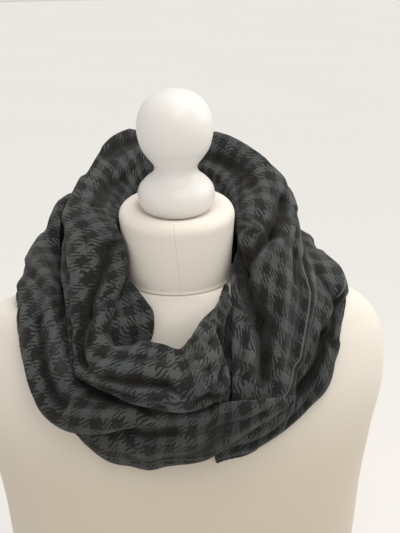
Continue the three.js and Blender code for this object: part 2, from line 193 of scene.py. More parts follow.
LOWER_TURN = np.array([
    [10, 9, 114, 398, 15, 110, 340, 4, 0, 0],
    [18, 18, 115, 400, 21, 112, 344, 6, 0, 5],
    [30, 30, 121, 404, 31, 120, 349, 8, 0, 10],
    [41, 40, 121, 410, 43, 134, 363, 8, 0, 10],
    [50, 47, 122, 428, 53, 148, 379, 10, 0, 10],
    [59, 56, 122, 448, 61, 163, 401, 13, 0, 10],
    [67, 65, 124, 473, 67, 169, 434, 15, 0, 10],
    [77, 77, 118, 493, 77, 171, 464, 17, 0, 5],
    [88, 88, 111, 505, 88, 171, 481, 15, 0, 5],
    [99, 100, 110, 517, 98, 166, 483, 15, 5, 10],
    [112, 112, 114, 530, 111, 158, 481, 24, 10, 15],
    [130, 129, 126, 544, 130, 148, 466, 28, 10, 15],
    [152, 152, 138, 550, 152, 130, 452, 24, 10, 15],
    [180, 180, 140, 556, 180, 121, 446, 25, 10, 15],
    [206, 206, 140, 562, 206, 128, 452, 27, 0, 15],
    [228, 228, 134, 569, 229, 147, 466, 25, 0, 15],
    [244, 244, 129, 567, 245, 153, 483, 19, 0, 15],
    [259, 259, 124, 537, 258, 154, 484, 20, 0, 15],
    [271, 271, 117, 502, 270, 166, 483, 24, 0, 10],
    [283, 283, 113, 492, 281, 163.5, 473, 20, 0, 5],
    [293, 292, 117, 481, 291, 166.5, 440, 17, 0, 10],
    [301, 300, 123, 453, 298, 169, 410, 17, 0, 10],
    [308, 308, 119, 426, 304, 165, 391, 17, 0, 10],
    [317, 317, 113, 425, 313, 154, 382, 16, 0, 10],
    [328, 328, 111, 422, 327, 141, 386, 13, 0, 10],
    [338, 338, 113, 419, 337, 138, 396, 10, 0, 10],
    [343, 343, 121, 415, 342, 137, 400, 7, 0, 5],
    [348, 348, 128, 409, 348, 135, 403, 4, 0, 0],
], float)

FRONT_HEM = np.array([
    [-54, -54, 126, 400, -54, 140, 382, 2, 0, 0],
    [-45, -45, 121, 405, -46, 139, 364, 7, 0, 5],
    [-36, -36, 117, 410, -36, 132, 348, 11, 0, 10],
    [-27, -27, 116, 412, -27, 121, 343, 14, 0, 15],
    [-17, -17, 117, 413, -18, 114, 338, 17, 0, 20],
    [-7, -7, 119, 414, -9, 112, 344, 16, 0, 20],
    [4, 4, 121, 413, 4, 113, 346, 16, 0, 20],
    [12, 12, 124, 411, 11, 121, 354, 13, 0, 20],
    [19, 19, 136, 419, 20, 130, 373, 10, 0, 15],
    [29, 28, 145, 420, 30, 139, 390, 7, 0, 10],
    [38, 38, 152, 416, 39, 152, 404, 3, 0, 0],
], float)

NECK_FOLD = np.array([
    [0, -60, 61, 508, -68, 64, 504, 2, 0, 0],
    [10, -49, 63, 507, -62, 69, 500, 5, 5, 0],
    [20, -35, 68, 501, -55, 72, 497, 7, 10, 0],
    [30, -23, 75, 491, -52, 83, 487, 8, 15, 0],
    [40, -20, 78, 476, -50, 94, 477, 8, 15, 0],
    [50, -22, 80, 461, -47, 101, 463, 6, 10, 0],
    [58, -28, 84, 449, -40, 102, 450, 3, 0, 0],
], float)

# Folds: from (place along, place across), to (along, across), width and height. Across runs
# from 0 at the neck-side edge to 1 at the outer edge, and a height below 0 is a trough.
UPPER_FOLDS = [
    (24, 0.45, 42, 0.38, 9, -6),
    (42, 0.38, 62, 0.16, 9, -6),
    (57, 0.27, 77, 0.46, 9, -5),
    (77, 0.46, 98, 0.6, 9, -5),
    (30, 0.68, 74, 0.7, 8, -4),
    (34, 0.82, 84, 0.85, 7, 4),
    (108, 0.34, 150, 0.3, 10, -6),
    (126, 0.66, 178, 0.56, 12, -8),
    (165, 0.36, 214, 0.44, 11, -7),
    (186, 0.74, 236, 0.66, 11, -6),
    (222, 0.28, 252, 0.3, 9, -5),
    (238, 0.52, 262, 0.6, 7, 4),
    (262, 0.72, 290, 0.74, 8, -4),
    (288, 0.34, 308, 0.53, 8, -6),
    (308, 0.53, 325, 0.62, 8, -4),
    (332, 0.7, 352, 0.65, 6, -5),
    (352, 0.65, 370, 0.86, 6, -5),
    (368, 0.34, 365, 0.6, 6, 4),
    (371, 0.65, 384, 0.17, 5, -3),
    (385, 0.51, 399, 0.08, 5, -3),
]
LOWER_FOLDS = [
    (54, 0.54, 67, 0.6, 7, -5),
    (67, 0.6, 76, 0.76, 7, -5),
    (84, 0.46, 77, 0.62, 8, -5),
    (99, 0.58, 82, 0.8, 9, 6),
    (104, 0.3, 132, 0.4, 10, -6),
    (122, 0.7, 168, 0.62, 12, -8),
    (150, 0.36, 196, 0.3, 12, -7),
    (184, 0.6, 232, 0.68, 13, -9),
    (212, 0.34, 250, 0.38, 11, -6),
    (254, 0.66, 284, 0.62, 9, -3),
    (262, 0.3, 286, 0.36, 8, 4),
    (280, 0.06, 294, 0.2, 9, -4),
    (291, 0.33, 311, 0.36, 8, 4),
    (290, 0.5, 312, 0.56, 7, -6),
    (318, 0.36, 334, 0.3, 6, -3),
]
HEM_FOLDS = [
    (-34, 0.4, -4, 0.34, 7, -4),
    (-22, 0.66, 16, 0.56, 7, -3),
]

# Smaller creases that only the looks have, in the same columns
UPPER_CREASES = [
    (22, 0.46, 42, 0.38, 6, -4),
    (42, 0.38, 66, 0.14, 6, -4),
    (57, 0.27, 77, 0.46, 5, -3),
    (77, 0.46, 100, 0.6, 5, -3),
    (60, 0.38, 84, 0.62, 5, 3),
    (286, 0.3, 308, 0.5, 5, -4),
    (308, 0.5, 326, 0.62, 5, -3),
    (64, 0.08, 96, 0.06, 6, -3),
    (20, 0.2, 40, 0.24, 4, -2),
    (36, 0.56, 70, 0.54, 4, 2),
    (60, 0.62, 92, 0.66, 3, -2),
    (96, 0.2, 120, 0.28, 4, -2),
    (100, 0.72, 132, 0.8, 5, 2),
    (118, 0.5, 156, 0.44, 4, 2),
    (140, 0.2, 176, 0.22, 4, -2),
    (150, 0.78, 190, 0.84, 5, -2),
    (190, 0.26, 224, 0.3, 4, 2),
    (200, 0.54, 240, 0.5, 4, 2),
    (232, 0.78, 262, 0.84, 5, -2),
    (240, 0.16, 270, 0.2, 4, -2),
    (256, 0.36, 286, 0.5, 4, -2),
    (272, 0.26, 300, 0.34, 3, 2),
    (284, 0.62, 306, 0.7, 4, 2),
    (296, 0.8, 318, 0.78, 4, -2),
    (310, 0.36, 330, 0.44, 4, -2),
    (328, 0.5, 350, 0.42, 4, -2),
    (340, 0.26, 364, 0.3, 4, 2),
    (346, 0.82, 368, 0.72, 4, 2),
    (374, 0.3, 396, 0.26, 4, 2),
    (367, 0.76, 369, 0.42, 5, -3),
    (326, 0.9, 350, 0.84, 6, -3),
    (370, 0.72, 381, 0.34, 5, -4),
    (375, 0.76, 392, 0.34, 4, -3),
]
LOWER_CREASES = [
    (312, 0.3, 326, 0.24, 12, -3),
    (326, 0.24, 346, 0.3, 13, -4),
    (52, 0.5, 68, 0.56, 5, -4),
    (68, 0.56, 78, 0.72, 5, -4),
    (14, 0.34, 44, 0.3, 4, 2),
    (24, 0.66, 52, 0.7, 4, -2),
    (60, 0.3, 80, 0.28, 4, 2),
    (70, 0.88, 96, 0.9, 4, -2),
    (88, 0.2, 112, 0.18, 4, -2),
    (110, 0.56, 140, 0.5, 5, 2),
    (140, 0.82, 176, 0.84, 5, 2),
    (170, 0.64, 182, 0.61, 12, -5),
    (160, 0.48, 200, 0.46, 5, 2),
    (200, 0.84, 240, 0.86, 5, -2),
    (230, 0.5, 262, 0.5, 4, 2),
    (250, 0.82, 282, 0.84, 4, -2),
    (268, 0.48, 290, 0.44, 4, -2),
    (284, 0.72, 306, 0.76, 4, 2),
    (300, 0.2, 322, 0.22, 4, -2),
    (316, 0.58, 340, 0.56, 4, 2),
]
HEM_CREASES = [
    (-46, 0.3, -30, 0.24, 4, -2),
    (-18, 0.2, 10, 0.16, 4, 2),
    (8, 0.36, 30, 0.44, 4, -2),
]
NECK_CREASES = [
    (8, 0.6, 30, 0.5, 3, -2),
    (28, 0.36, 54, 0.44, 3, -2),
]

# How the weave lies along each turn: place along, angle to the turn's own direction, and the
# length of one repeat of the check along and across it, which gathering shortens
UPPER_LAY = [
    (0, -12, 21, 19),
    (30, -10, 25, 18),
    (70, -14, 27, 17),
    (116, 0, 22, 20),
    (240, 0, 20, 22),
    (270, 8, 19, 25),
    (300, 16, 19, 25),
    (330, -10, 22, 20),
    (360, 6, 21, 19),
    (402, 20, 19, 22),
]
LOWER_LAY = [
    (10, 10, 21, 19),
    (60, -16, 23, 18),
    (90, 10, 21, 20),
    (140, 0, 21, 21),
    (250, 0, 21, 21),
    (285, 22, 19, 23),
    (310, 6, 20, 22),
    (348, -6, 22, 19),
]
HEM_LAY = [(-54, 4, 19, 21), (0, -3, 20, 20), (38, 3, 19, 21)]
NECK_LAY = [(0, 30, 21, 19), (58, 12, 21, 19)]

# Where the woven lines run on each turn: place along and place across, above 1 for none
UPPER_LINES = [
    (0, 0.42),
    (6, 0.5),
    (10, 0.64),
    (18, 0.72),
    (34, 0.77),
    (60, 0.77),
    (76, 0.73),
    (96, 0.72),
    (116, 0.8),
    (150, 1.1),
    (402, 1.1),
]
LOWER_LINES = [
    (10, 0.94),
    (42, 0.8),
    (50, 0.52),
    (55, 0.5),
    (62, 0.54),
    (69, 0.64),
    (84, 0.74),
    (110, 0.82),
    (150, 1.0),
    (348, 1.0),
]
HEM_LINES = [
    (-54, 0.9),
    (-30, 0.69),
    (0, 0.66),
    (8, 0.68),
    (14, 0.82),
    (20, 0.97),
    (38, 0.97),
]
NECK_LINES = [(0, 0.95), (58, 0.95)]

# Lines woven along the cloth's edges: distance from the line's place in millimetres, half
# width, strength and colour
SELVAGE = [
    (0, 1.3, 0.75, (0.15, 0.165, 0.155, 1)),
    (3.4, 3.2, 0.8, (0.014, 0.0125, 0.013, 1)),
]
HEM_STRIPES = [
    (0, 1.0, 0.7, (0.13, 0.135, 0.115, 1)),
    (-3.8, 1.0, 0.55, (0.075, 0.062, 0.04, 1)),
    (-7.6, 1.0, 0.5, (0.07, 0.06, 0.04, 1)),
    (-12, 1.2, 0.4, (0.06, 0.055, 0.04, 1)),
]

# Camera of the photo, in metres and degrees, and its focal length in picture heights
CAMERA_TARGET = (0.021, -0.030, 0.518)
CAMERA_DISTANCE = 0.8
CAMERA_TURN = -3.5
CAMERA_RISE = 20
CAMERA_ROLL = -1
CAMERA_FOCAL = 800 / 533
SENSOR = 36

# Lights: name, kind, place, what it faces, power, size (in degrees for the sun), colour
LIGHTS = [
    ("sky", "SUN", (0.6, 0.3, 2.2), (0, 0, 0.45), 1.2, 35, (1, 0.98, 0.95)),
    ("key", "AREA", (0.1, -0.45, 1.1), (0, -0.03, 0.55), 1.2, 0.3, (1, 0.95, 0.88)),
    ("side", "AREA", (0.75, 0.1, 1.0), (0.08, 0, 0.5), 1.6, 0.4, (1, 0.98, 0.95)),
]
WORLD_COLOUR = (1.0, 0.98, 0.95, 1)
WORLD_LIGHT = 0.66

# Floor: radius and how far it lies below the form's base, in metres, and points round it
FLOOR_RADIUS = 30
FLOOR_DROP = 0.0005
FLOOR_POINTS = 96


def sample(rows, at):
    """Smooth values of all of a table's columns at places along its first column."""
    at = np.asarray(at, float).ravel()
    keys = rows[:, 0]
    last = len(keys) - 1
    i = np.clip(np.searchsorted(keys, at), 1, last)
    a, b = rows[i - 1], rows[i]
    before, after = rows[np.maximum(i - 2, 0)], rows[np.minimum(i + 1, last)]
    span = b[:, :1] - a[:, :1]
    u = np.clip((at[:, None] - a[:, :1]) / span, 0, 1)
    slope_a = (b - before) / (b[:, :1] - before[:, :1]) * span
    slope_b = (after - a) / (after[:, :1] - a[:, :1]) * span
    u2, u3 = u * u, u * u * u
    return (
        (2 * u3 - 3 * u2 + 1) * a + (u3 - 2 * u2 + u) * slope_a
        + (3 * u2 - 2 * u3) * b + (u3 - u2) * slope_b
    )


def polar(bearing, radius, z):
    """Points at bearings round the neck, radii and heights."""
    angle = np.radians(bearing)
    x, y, z = np.broadcast_arrays(radius * np.sin(angle), -radius * np.cos(angle), z)
    return np.stack([x, y, z], -1).astype(float)


def unit(v):
    """Vectors at a length of one."""
    return v / np.maximum(np.linalg.norm(v, axis=-1, keepdims=True), 1e-9)


def section_ends(rows, at):
    """A turn's rows at places along it, and the points of both edges."""
    row = sample(rows, at)
    return row, polar(row[:, 1], row[:, 2], row[:, 3]), polar(row[:, 4], row[:, 5], row[:, 6])


def band(rows, at, across):
    """Points of a turn's outer face: one line of points across for each place along it."""
    row, inner, outer = section_ends(rows, at)
    _, ahead_in, ahead_out = section_ends(rows, np.asarray(at) + 1)
    _, back_in, back_out = section_ends(rows, np.asarray(at) - 1)
    along = unit(ahead_in + ahead_out - back_in - back_out)
    chord = outer - inner
    half = np.linalg.norm(chord, axis=-1)[:, None, None] / 2
    chord = unit(chord)
    up = unit(np.cross(chord, along))
    start = -np.radians(row[:, 8])[:, None]
    end = np.pi + np.radians(row[:, 9])[:, None]
    across = np.broadcast_to(across, (len(row), np.shape(across)[-1]))
    inside = np.clip(across, 0, 1)
    beyond = across - inside
    tucked = np.minimum(np.abs(beyond) / TUCK_SHARE, 1)
    angle = start + (end - start) * inside + np.radians(TUCK_DEG) * np.sign(beyond) * tucked
    size = 1 - TUCK_SHRINK * tucked
    middle = (inner + outer)[:, None, :] / 2
    return (
        middle
        - chord[:, None, :] * half * (size * np.cos(angle))[..., None]
        + up[:, None, :] * row[:, 7][:, None, None] * (size * np.sin(angle))[..., None]
    )


def torso_radius(bearing, z):
    """Radius of the torso at bearings and heights, from its rounded rings."""
    ring = sample(TORSO, z)
    shape = np.shape(bearing)
    angle = np.radians(np.ravel(bearing))
    depth = np.where(np.cos(angle) > 0, ring[:, 2], ring[:, 3])
    power = ring[:, 4]
    across = np.abs(np.sin(angle)) / ring[:, 1]
    along = np.abs(np.cos(angle)) / depth
    return ((across ** power + along ** power) ** (-1 / power)).reshape(shape)


def neck_radius(z):
    """Radius of the neck's side at heights."""
    up = np.clip((z - FORM_TOP) / (NECK_TOP - FORM_TOP), 0, 1)
    return NECK_BASE_RADIUS + (NECK_TOP_RADIUS - NECK_BASE_RADIUS) * up


def neck_shift(z):
    """How far the leaning neck is from the upright axis at heights."""
    return -NECK_LEAN * np.maximum(0, z - FORM_TOP)


def clear_of_form(points, gap):
    """Moves points of the cloth out of the torso and the neck, along their surface's slope."""
    shape = points.shape
    p = points.reshape(-1, 3).copy()
    for _ in range(PUSH_PASSES):
        radius = np.hypot(p[:, 0], p[:, 1])
        bearing = np.degrees(np.arctan2(p[:, 0], -p[:, 1]))
        z = np.minimum(p[:, 2], FORM_TOP)
        surface = torso_radius(bearing, z)
        slope = (torso_radius(bearing, z - 2) - surface) / 2
        steep = np.hypot(1, slope)
        near = (radius - surface + (p[:, 2] - z) * slope) / steep
        push = np.where((near < gap) & (p[:, 2] < FORM_TOP + TORSO_REACH), (gap - near) / steep, 0)
        p[:, 0] += push * p[:, 0] / radius
        p[:, 1] += push * p[:, 1] / radius
        p[:, 2] += push * slope
        dy = p[:, 1] - neck_shift(p[:, 2])
        from_neck = np.hypot(p[:, 0], dy)
        clear = neck_radius(p[:, 2]) + gap
        beside = (p[:, 2] > FORM_TOP - NECK_REACH) & (p[:, 2] < NECK_TOP + gap)
        share = np.where(beside & (from_neck < clear), clear / from_neck, 1)
        p[:, 0] *= share
        p[:, 1] += dy * (share - 1)
    return p.reshape(shape)


def grid_normals(grid):
    """Normals of a grid of points, from each point's neighbours."""
    along = np.gradient(grid, axis=0)
    across = np.gradient(grid, axis=1)
    return unit(np.cross(across, along))


def fold_height(rows, folds, at, points):
    """How far a table of folds lifts each point of a turn."""
    height = np.zeros(points.shape[:2])
    for start, across_start, end, across_end, width, lift in folds:
        count = max(3, int(abs(end - start) / FOLD_STEP))
        share = np.linspace(0, 1, count)
        places = start + (end - start) * share
        across = across_start + (across_end - across_start) * share
        line = band(rows, places, across[:, None])[:, 0]
        low, high = min(start, end) - FOLD_REACH, max(start, end) + FOLD_REACH
        near = np.flatnonzero((at >= low) & (at <= high))
        if not len(near):
            continue
        part = points[near].reshape(-1, 3)
        nearest = np.full(len(part), np.inf)
        for place in line:
            np.minimum(nearest, ((part - place) ** 2).sum(1), out=nearest)
        height[near] += lift * np.exp(-nearest / width ** 2).reshape(len(near), -1)
    return height


def smooth_noise(x, y, seed):
    """Seeded smooth noise from -1 to 1 at places on a plane."""
    lattice = np.random.default_rng(seed).uniform(-1, 1, (LATTICE, LATTICE))
    i, j = np.floor(x).astype(int), np.floor(y).astype(int)
    fx, fy = x - i, y - j
    fx, fy = fx * fx * (3 - 2 * fx), fy * fy * (3 - 2 * fy)
    i, j, i1, j1 = i % LATTICE, j % LATTICE, (i + 1) % LATTICE, (j + 1) % LATTICE
    low = lattice[i, j] * (1 - fx) + lattice[i1, j] * fx
    high = lattice[i, j1] * (1 - fx) + lattice[i1, j1] * fx
    return low * (1 - fy) + high * fy


def arc_grid(points):
    """Length along the middle line and across from it, at each point of a grid, in millimetres."""
    middle = points.shape[1] // 2
    steps = np.linalg.norm(np.diff(points[:, middle], axis=0), axis=-1)
    along = np.concatenate([[0], np.cumsum(steps)])
    across = np.linalg.norm(np.diff(points, axis=1), axis=-1)
    across = np.concatenate([np.zeros((len(points), 1)), np.cumsum(across, axis=1)], 1)
    return along, across - across[:, middle:middle + 1]


def wrinkles(along, across, seed):
    """Small soft wrinkles that run mostly along the cloth, in millimetres."""
    x = along[:, None] + 0 * across
    drift = 9 * smooth_noise(x / 60, across / 50, seed)
    ridges = 1 - 2 * np.abs(smooth_noise(x / 55, (across + drift) / 15, seed + 1))
    broad = smooth_noise(x / 34, (across + 2 * drift) / 19, seed + 2)
    fine = smooth_noise(x / 16, (across + drift) / 7, seed + 3)
    return WRINKLE_RIDGES * ridges + WRINKLE_BROAD * broad + WRINKLE_FINE * fine


def weave_uv(along, across, at, lay):
    """Place on the flat cloth of each point, in repeats of the check."""
    places, angles, pitch_along, pitch_across = np.array(lay, float).T
    angle = np.radians(np.interp(at, places, angles))
    steps = np.diff(along, prepend=along[0]) / np.interp(at, places, pitch_along)
    across = across / np.interp(at, places, pitch_across)[:, None]
    u = np.cumsum(steps * np.cos(angle))[:, None] - across * np.sin(angle)[:, None]
    v = np.cumsum(steps * np.sin(angle))[:, None] + across * np.cos(angle)[:, None]
    return np.stack([u, v], -1)


def marks_uv(at, across, over, height, line):
    """Distance of each point from the turn's woven line, and how far its folds lift it."""
    places, shares = np.array(line, float).T
    share = np.interp(at, places, shares)
    on_line = np.array([np.interp(s, across, o) for s, o in zip(share, over)])
    return np.stack([over - on_line[:, None], height], -1) / MARK_UNIT


def grid_mesh(name, points, layers):
    """A mesh object from a grid of points in millimetres, facing away from the neck."""
    rows, columns = points.shape[:2]
    index = np.arange(rows * columns).reshape(rows, columns)
    faces = np.stack([index[:-1, :-1], index[:-1, 1:], index[1:, 1:], index[1:, :-1]], -1)
    mesh = bpy.data.meshes.new(name)
    mesh.from_pydata((points.reshape(-1, 3) * MM).tolist(), [], faces.reshape(-1, 4).tolist())
    corners = np.empty(len(mesh.loops), int)
    mesh.loops.foreach_get("vertex_index", corners)
    for layer_name, uv in layers.items():
        layer = mesh.uv_layers.new(name=layer_name)
        layer.data.foreach_set("uv", uv.reshape(-1, 2)[corners].astype(np.float32).ravel())
    mesh.polygons.foreach_set("use_smooth", [True] * len(mesh.polygons))
    obj = bpy.data.objects.new(name, mesh)
    bpy.context.scene.collection.objects.link(obj)
    return obj


def cloth_piece(name, rows, folds, creases, lay, line, tucks, sections, columns, seed):
    """One turn of the scarf as a thin shell of cloth with its folds, creases and wrinkles."""
    at = np.linspace(rows[0, 0], rows[-1, 0], sections)
    across = np.linspace(-TUCK_SHARE * tucks[0], 1 + TUCK_SHARE * tucks[1], columns)
    points = band(rows, at, across)
    normals = grid_normals(points)
    height = FOLD_DEPTH * fold_height(rows, folds, at, points)
    height += CREASE_DEPTH * fold_height(rows, creases, at, points)
    points = points + normals * height[..., None]
    along, over = arc_grid(points)
    small = wrinkles(along, over, seed)
    points = points + grid_normals(points) * small[..., None]
    points = clear_of_form(points, CLOTH_CLEARANCE)
    along, over = arc_grid(points)
    obj = grid_mesh(name, points, {
        "weave": weave_uv(along, over, at, lay),
        "marks": marks_uv(at, across, over, height + small, line),
    })
    solid = obj.modifiers.new("cloth", "SOLIDIFY")
    solid.thickness = CLOTH_THICKNESS * MM
    solid.offset = -1
    size = (float(np.ptp(over, axis=1).mean()) * MM, float(along[-1]) * MM)
    return obj, size


class Graph:
    """Short ways to add and link a material's nodes."""

    def __init__(self, name):
        self.material = bpy.data.materials.new(name)
        self.material.use_nodes = True
        self.nodes = self.material.node_tree.nodes
        self.links = self.material.node_tree.links
        self.nodes.clear()
        self.output = self.nodes.new("ShaderNodeOutputMaterial")
        self.shader = self.nodes.new("ShaderNodeBsdfPrincipled")
        self.link(self.shader.outputs[0], self.output.inputs["Surface"])

    def link(self, source, target):
        self.links.new(source, target)

    def feed(self, socket, value):
        if isinstance(value, bpy.types.NodeSocket):
            self.link(value, socket)
        elif value is not None:
            socket.default_value = value

    def math(self, operation, *values, clamp=False):
        node = self.nodes.new("ShaderNodeMath")
        node.operation = operation
        node.use_clamp = clamp
        for socket, value in zip(node.inputs, values):
            self.feed(socket, value)
        return node.outputs[0]

    def noise(self, vector, scale, detail):
        node = self.nodes.new("ShaderNodeTexNoise")
        self.feed(node.inputs["Vector"], vector)
        node.inputs["Scale"].default_value = scale
        node.inputs["Detail"].default_value = detail
        return node.outputs["Fac"]

    def soft_block(self, value, width):
        """1 round each whole value, over a share of each step, and else 0, with soft borders."""
        middle = self.math("ABSOLUTE", self.math("SUBTRACT", self.math("FRACT", value), 0.5))
        edge = 0.5 - width / 2
        return self.ramp(middle, edge - BLOCK_BORDER, edge + BLOCK_BORDER)

    def centred(self, value, size):
        return self.math("MULTIPLY", self.math("SUBTRACT", value, 0.5), size)

    def shifted(self, vector, distance):
        node = self.nodes.new("ShaderNodeVectorMath")
        self.feed(node.inputs[0], vector)
        node.inputs[1].default_value = (distance, -distance, distance)
        return node.outputs[0]

    def mix(self, share, a, b):
        node = self.nodes.new("ShaderNodeMix")
        node.data_type = "RGBA"
        self.feed(node.inputs["Factor"], share)
        self.feed(node.inputs[6], a)
        self.feed(node.inputs[7], b)
        return node.outputs[2]

    def ramp(self, value, low, high):
        node = self.nodes.new("ShaderNodeMapRange")
        node.interpolation_type = "SMOOTHSTEP"
        self.feed(node.inputs["Value"], value)
        node.inputs["From Min"].default_value = low
        node.inputs["From Max"].default_value = high
        return node.outputs[0]

    def combine(self, x, y, z=0.0):
        node = self.nodes.new("ShaderNodeCombineXYZ")
        for socket, value in zip(node.inputs, (x, y, z)):
            self.feed(socket, value)
        return node.outputs[0]

    def separate(self, vector):
        node = self.nodes.new("ShaderNodeSeparateXYZ")
        self.feed(node.inputs[0], vector)
        return node.outputs

    def coordinates(self, kind, uv_name=None):
        if uv_name:
            node = self.nodes.new("ShaderNodeUVMap")
            node.uv_map = uv_name
            return node.outputs[0]
        return self.nodes.new("ShaderNodeTexCoord").outputs[kind]

    def bump(self, height, distance, strength=1.0, normal=None):
        node = self.nodes.new("ShaderNodeBump")
        node.inputs["Strength"].default_value = strength
        node.inputs["Distance"].default_value = distance
        self.feed(node.inputs["Height"], height)
        if normal is not None:
            self.feed(node.inputs["Normal"], normal)
        return node.outputs[0]


def woven_checks(g, place):
    """Share of dark thread at each place: eight dark and eight light threads each way, in twill."""
    u, v, _ = g.separate(place)
    sway_u = g.centred(g.noise(g.combine(u, v), 0.9, 2.0), 0.6)
    sway_v = g.centred(g.noise(g.combine(u, v, 31.7), 0.9, 2.0), 0.6)
    hair_u = g.centred(g.noise(g.combine(u, v, 5.0), 12.0, 2.0), 0.15)
    hair_v = g.centred(g.noise(g.combine(u, v, 9.0), 12.0, 2.0), 0.15)
    u = g.math("ADD", u, g.math("ADD", sway_u, hair_u))
    v = g.math("ADD", v, g.math("ADD", sway_v, hair_v))
    warp = g.soft_block(u, DARK_SHARE)
    weft = g.soft_block(v, DARK_SHARE)
    step = g.math("MULTIPLY", g.math("ADD", u, v), THREADS / 4)
    over = g.ramp(g.math("PINGPONG", step, 0.5), 0.13, 0.37)
    return g.math("ADD", g.math("MULTIPLY", over, warp),
                  g.math("MULTIPLY", g.math("SUBTRACT", 1.0, over), weft))


def light_threads(g, place):
    """Colour of the light threads: greyish green, with greyer and bluer patches."""
    hue = g.ramp(g.noise(place, 0.5, 2.0), 0.35, 0.65)
    tint = g.ramp(g.noise(g.shifted(place, 3.1), 0.7, 2.0), 0.4, 0.62)
    light = g.mix(hue, THREAD_GREEN, THREAD_GREY)
    return g.mix(g.math("MULTIPLY", tint, 0.4), light, THREAD_BLUE)


def dark_threads(g, place):
    """Colour of the dark threads: black, with browner patches."""
    hue = g.ramp(g.noise(g.shifted(place, 5.7), 0.6, 2.0), 0.35, 0.65)
    return g.mix(hue, THREAD_BLACK, THREAD_BROWN)


def checks_colour(g, place, fibre):
    """Colour of the woven checks, grainy, with specks of each thread in the other and pale fuzz."""
    grain = g.centred(g.noise(g.shifted(place, 11.9), 26.0, 3.0), 1.3)
    dark = g.math("ADD", woven_checks(g, place), grain, clamp=True)
    pepper = g.math("MULTIPLY", g.ramp(g.noise(place, 21.0, 1.0), 0.53, 0.65), 0.7)
    speckle = g.math("MULTIPLY", g.ramp(g.noise(g.shifted(place, 7.3), 19.0, 1.0), 0.6, 0.7), 0.3)
    light, deep = light_threads(g, place), dark_threads(g, place)
    light = g.mix(pepper, light, deep)
    deep = g.mix(speckle, deep, light)
    colour = g.mix(dark, light, deep)
    return g.mix(g.math("MULTIPLY", g.ramp(fibre, 0.45, 0.75), 0.3), colour, FUZZ)


def edge_lines(g, colour, edge, lines):
    """The cloth's colour with the lines woven along its edge."""
    for middle, width, strength, shade in lines:
        away = g.math("ABSOLUTE", g.math("SUBTRACT", edge, middle / MARK_UNIT))
        near = g.ramp(away, width / MARK_UNIT, 0.4 * width / MARK_UNIT)
        colour = g.mix(g.math("MULTIPLY", near, strength), colour, shade)
    return colour


def fold_shade(g, colour, fold):
    """The cloth's colour with painted shade in troughs and low down, and a painted highlight on the
    crests.
    """
    # Painted shade: the troughs of the folds darken, where less light reaches.
    trough = g.ramp(fold, -0.1, -0.6)
    colour = g.mix(g.math("MULTIPLY", trough, 0.8), colour, TROUGH_SHADE)
    # Painted highlight: the fold crests are paler, as if they catch the light.
    crest = g.ramp(fold, 0.1, 0.6)
    colour = g.mix(g.math("MULTIPLY", crest, 0.15), colour, PAINTED_CREST_HIGHLIGHT)
    # Painted shade: the cloth darkens towards the bottom, where the light falls off.
    low = g.ramp(g.separate(g.coordinates("Object"))[2], 0.46, 0.38)
    return g.mix(g.math("MULTIPLY", low, 0.3), colour, TROUGH_SHADE)


def twill_bump(g, place, fibre):
    """Fine diagonal ribs of the twill under a soft nap."""
    u, v, _ = g.separate(place)
    ribs = g.math("SINE", g.math("MULTIPLY", g.math("ADD", u, v), math.pi * THREADS))
    nap = g.math("ADD", g.math("MULTIPLY", ribs, 0.5), g.math("MULTIPLY", fibre, 2.0))
    return g.bump(nap, 0.0004, 0.7)


def scarf_cloth(name, lines):
    """Soft woven houndstooth with lines woven along the edge: place, width, strength, colour."""
    g = Graph(name)
    place = g.coordinates("UV", "weave")
    edge, fold, _ = g.separate(g.coordinates("UV", "marks"))
    fibre = g.noise(place, 55.0, 2.0)
    colour = edge_lines(g, checks_colour(g, place, fibre), edge, lines)
    g.link(fold_shade(g, colour, fold), g.shader.inputs["Base Color"])
    g.shader.inputs["Roughness"].default_value = 0.95
    g.shader.inputs["Specular IOR Level"].default_value = 0.2
    g.shader.inputs["Sheen Weight"].default_value = 0.12
    g.shader.inputs["Sheen Roughness"].default_value = 0.45
    g.shader.inputs["Sheen Tint"].default_value = (0.8, 0.82, 0.8, 1)
    g.link(twill_bump(g, place, fibre), g.shader.inputs["Normal"])
    return g.material


def form_cover():
    """Stretched off-white jersey with a fine knit, with painted shade low down."""
    g = Graph("jersey cover")
    place = g.coordinates("Object")
    cloud = g.noise(place, 6.0, 3.0)
    colour = g.mix(cloud, (0.87, 0.825, 0.75, 1), (0.79, 0.74, 0.66, 1))
    # Painted shade: the jersey darkens towards the bottom, where the light falls off.
    low = g.ramp(g.separate(place)[2], 0.45, 0.3)
    colour = g.mix(low, colour, (0.67, 0.60, 0.50, 1))
    g.link(colour, g.shader.inputs["Base Color"])
    g.shader.inputs["Roughness"].default_value = 0.85
    g.shader.inputs["Specular IOR Level"].default_value = 0.3
    g.shader.inputs["Sheen Weight"].default_value = 0.15
    knit = g.noise(place, 900.0, 2.0)
    soft = g.noise(place, 40.0, 2.0)
    bump = g.bump(knit, 0.0002, 0.5, g.bump(soft, 0.001, 0.25))
    g.link(bump, g.shader.inputs["Normal"])
    return g.material


def painted_wood():
    """White satin paint on turned wood, with faint tool rings."""
    g = Graph("painted wood")
    place = g.coordinates("Object")
    x, y, z = g.separate(place)
    across_x, across_y = g.math("MULTIPLY", x, 0.2), g.math("MULTIPLY", y, 0.2)
    rings = g.noise(g.combine(across_x, across_y, z), 420.0, 2.0)
    cloud = g.noise(place, 14.0, 3.0)
    colour = g.mix(cloud, (0.80, 0.785, 0.76, 1), (0.74, 0.72, 0.69, 1))
    g.link(colour, g.shader.inputs["Base Color"])
    g.link(g.math("ADD", 0.36, g.math("MULTIPLY", cloud, 0.16)), g.shader.inputs["Roughness"])
    g.shader.inputs["Coat Weight"].default_value = 0.15
    g.shader.inputs["Coat Roughness"].default_value = 0.3
    g.link(g.bump(rings, 0.0002, 0.3), g.shader.inputs["Normal"])
    return g.material


